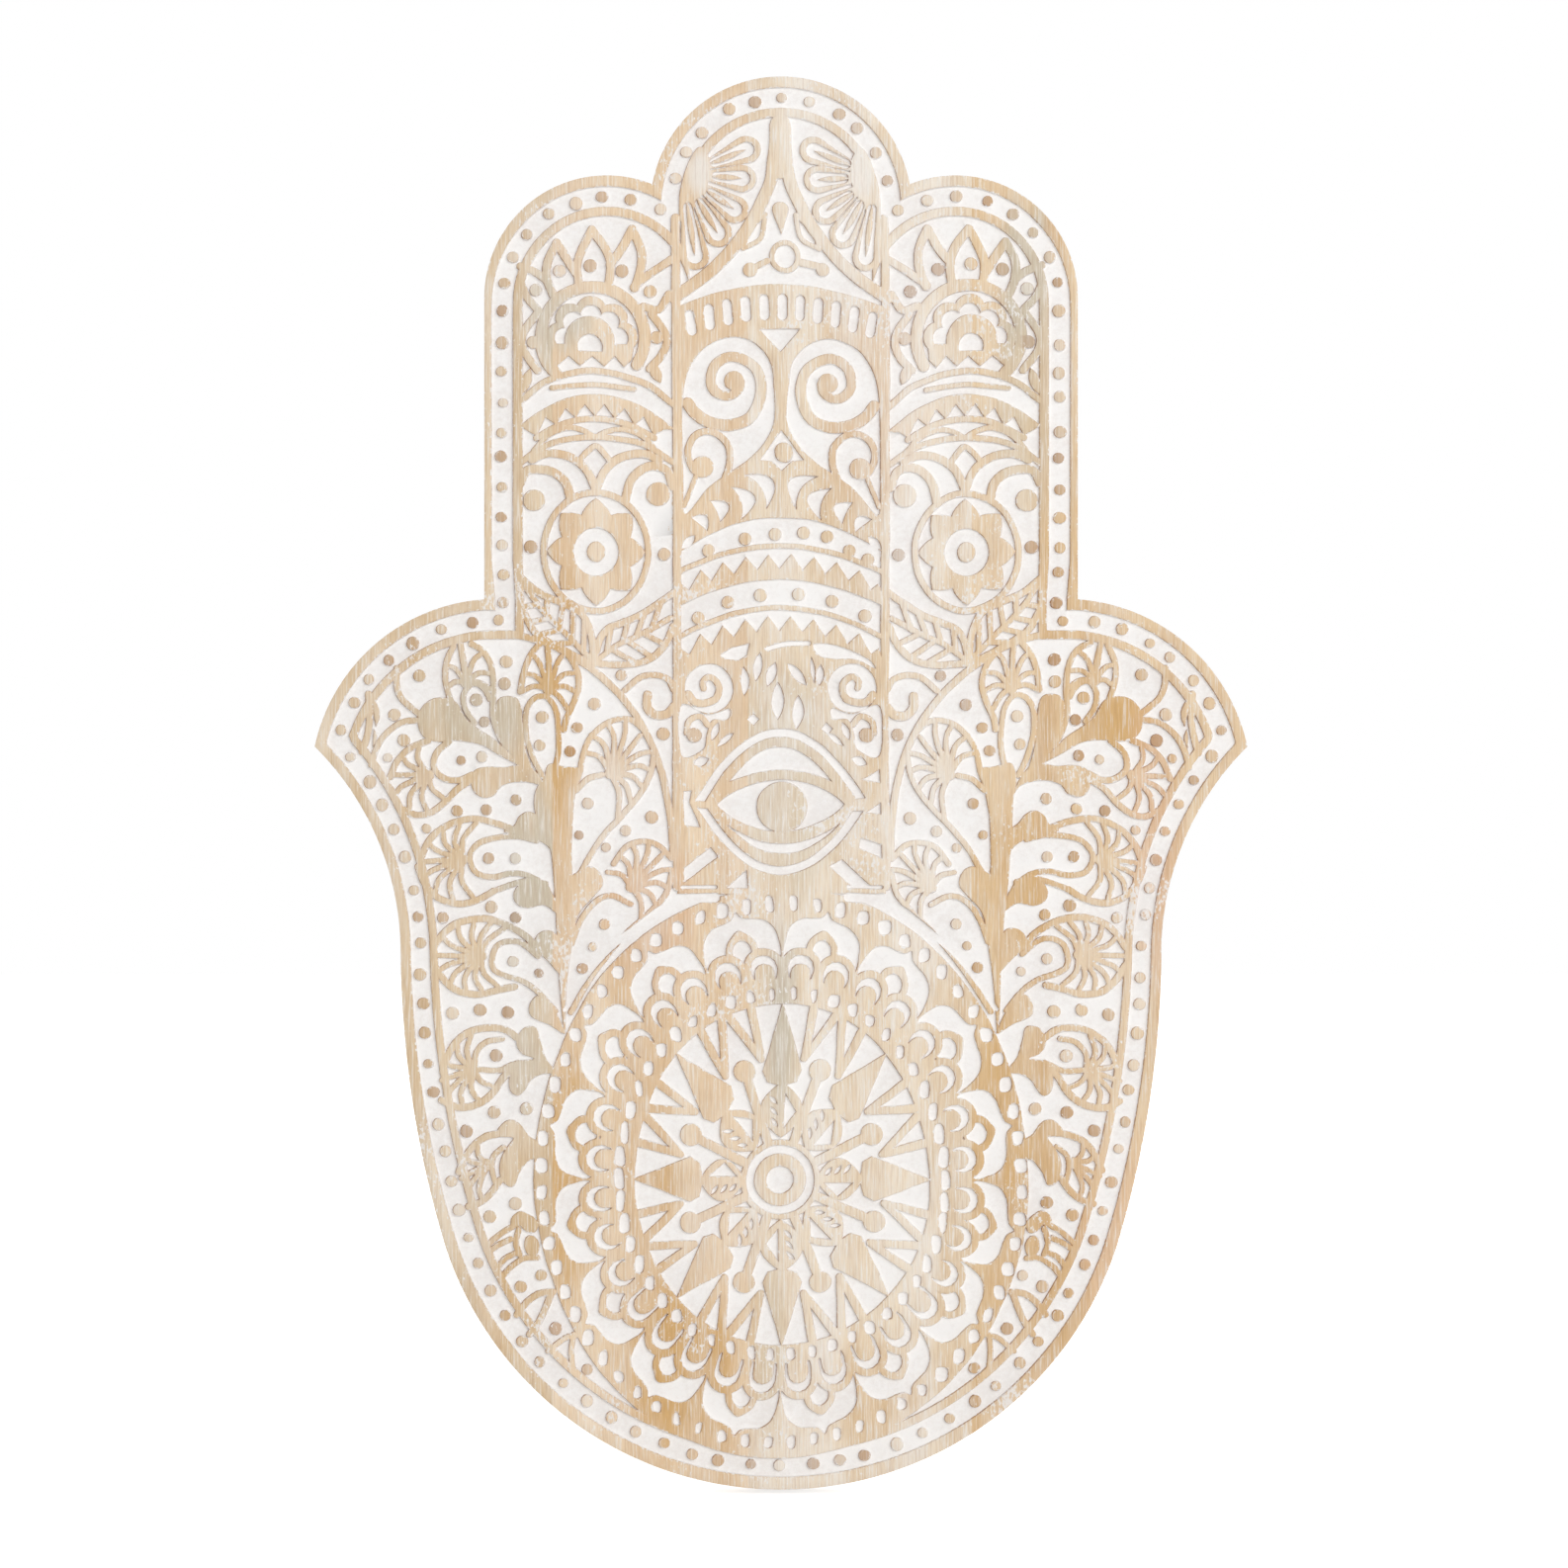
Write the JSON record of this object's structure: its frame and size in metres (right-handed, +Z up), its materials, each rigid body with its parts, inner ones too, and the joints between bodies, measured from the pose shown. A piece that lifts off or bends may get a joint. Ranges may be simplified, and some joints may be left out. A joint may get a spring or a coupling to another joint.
{
  "type": "hamsa hand wall ornament",
  "caption": "Carved wooden hand-shaped wall panel with an eye, a mandala and a beaded rim, glued up from staves, with swinging hanging rings on its back.",
  "frame": {"origin": "on the wall plane, midway between the two hanging points of the rings", "axes": "+Z up; the carved face looks along -Y, so +Y points into the wall; +X to the right of one facing the carving"},
  "size_m": [0.396, 0.024, 0.6],
  "materials": {
    "wood_left_outer": "carved mango wood, white paint rubbed into the hollows and sanded off the raised faces",
    "wood_left_inner": "carved mango wood, white paint rubbed into the hollows and sanded off the raised faces",
    "wood_right_inner": "carved mango wood, white paint rubbed into the hollows and sanded off the raised faces",
    "wood_right_outer": "carved mango wood, white paint rubbed into the hollows and sanded off the raised faces",
    "strap_steel": "zinc plated",
    "ring_steel": "zinc plated wire",
    "screw_steel": "zinc plated",
    "bumper_rubber": "matt"
  },
  "bodies": {
    "panel": {"left_outer_stave": "wood_left_outer", "left_inner_stave": "wood_left_inner", "right_inner_stave": "wood_right_inner", "right_outer_stave": "wood_right_outer", "left_hanger_strap": "strap_steel", "right_hanger_strap": "strap_steel", "hanger_screws": "screw_steel", "left_bumper": "bumper_rubber", "right_bumper": "bumper_rubber"},
    "left_ring": {"left_ring": "ring_steel"},
    "right_ring": {"right_ring": "ring_steel"}
  },
  "joints": [
    {"name": "left_ring_swing", "type": "hinge", "parent": "panel", "child": "left_ring", "pos_m": [-0.06, -0.00352, -0.0165], "axis": [1, 0, 0], "range_deg": [0, 180]},
    {"name": "right_ring_swing", "type": "hinge", "parent": "panel", "child": "right_ring", "pos_m": [0.06, -0.00352, -0.0165], "axis": [1, 0, 0], "range_deg": [0, 180]}
  ]
}
